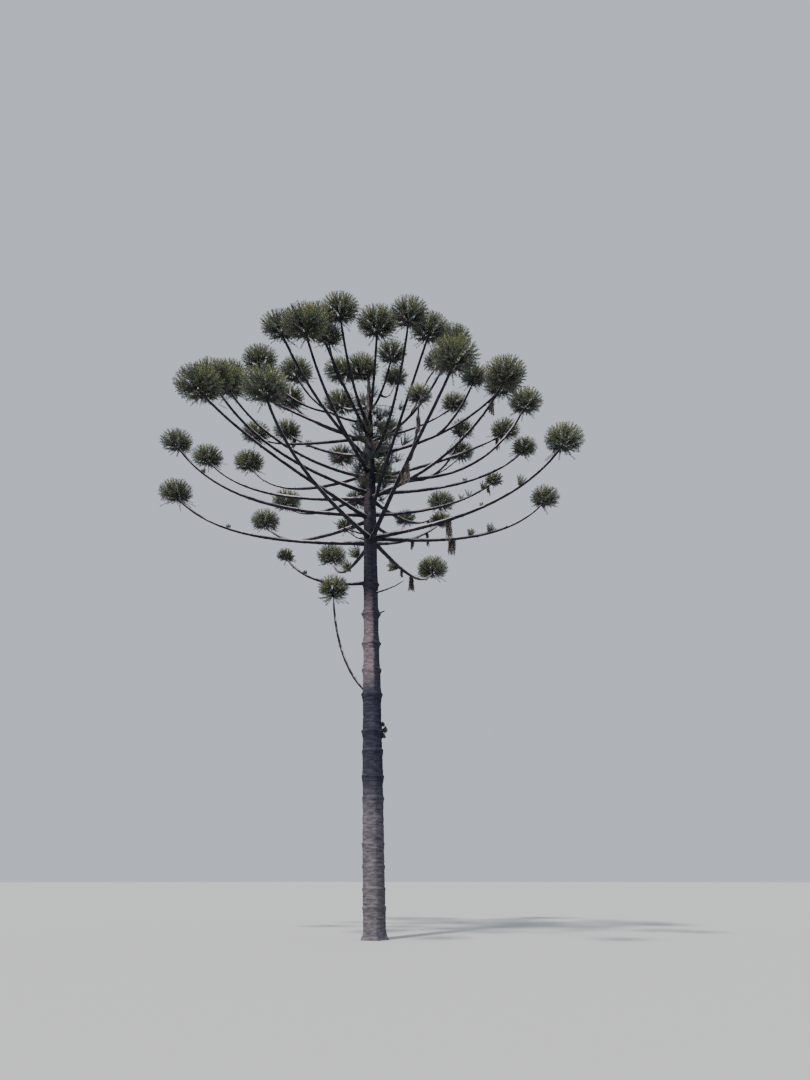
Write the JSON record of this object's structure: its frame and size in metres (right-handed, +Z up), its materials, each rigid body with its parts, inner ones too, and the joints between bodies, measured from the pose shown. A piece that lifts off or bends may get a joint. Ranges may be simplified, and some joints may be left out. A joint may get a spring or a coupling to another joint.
{
  "type": "parana pine tree",
  "caption": "Tall candelabra conifer with a bare scarred trunk, upswept boughs in whorls and a dome of needles at the end of each.",
  "frame": {"origin": "middle of the flat cut under the trunk, at ground level", "axes": "+Z up along the trunk, which leans 1.4 degrees towards -X; -Y towards the picture's viewer"},
  "size_m": [13.6114, 15.7737, 19.2744],
  "materials": {
    "trunk_bark": "rough grey-brown bark in horizontal wrinkles with ring scars",
    "bough_bark": "rough grey-brown to reddish bark",
    "foliage": "dense dark olive-green needles, yellower at the top"
  },
  "bodies": {
    "root": {"bough_05": "bough_bark", "bough_06": "bough_bark", "bough_08": "bough_bark", "bough_09": "bough_bark", "bough_11": "bough_bark", "bough_15": "bough_bark", "bough_16": "bough_bark", "bough_17": "bough_bark", "bough_21": "bough_bark", "bough_22": "bough_bark", "foliage_01": "foliage", "foliage_02": "foliage", "foliage_03": "foliage", "foliage_04": "foliage", "foliage_05": "foliage", "foliage_06": "foliage", "foliage_07": "foliage", "foliage_08": "foliage", "foliage_09": "foliage", "foliage_10": "foliage", "foliage_11": "foliage", "foliage_12": "foliage", "foliage_13": "foliage", "foliage_14": "foliage", "foliage_15": "foliage", "foliage_16": "foliage", "foliage_17": "foliage", "foliage_18": "foliage", "foliage_19": "foliage", "foliage_20": "foliage", "foliage_21": "foliage", "foliage_22": "foliage", "foliage_23": "foliage", "foliage_24": "foliage", "foliage_25": "foliage", "foliage_26": "foliage", "foliage_27": "foliage", "foliage_28": "foliage", "foliage_29": "foliage", "foliage_30": "foliage", "foliage_31": "foliage", "foliage_32": "foliage", "foliage_33": "foliage", "foliage_34": "foliage", "foliage_35": "foliage", "foliage_36": "foliage", "foliage_37": "foliage", "foliage_38": "foliage", "foliage_39": "foliage", "foliage_40": "foliage", "foliage_41": "foliage", "foliage_42": "foliage", "foliage_43": "foliage", "foliage_44": "foliage", "foliage_45": "foliage", "foliage_46": "foliage", "foliage_47": "foliage", "foliage_48": "foliage", "foliage_49": "foliage", "trunk": "trunk_bark"}
  },
  "joints": []
}
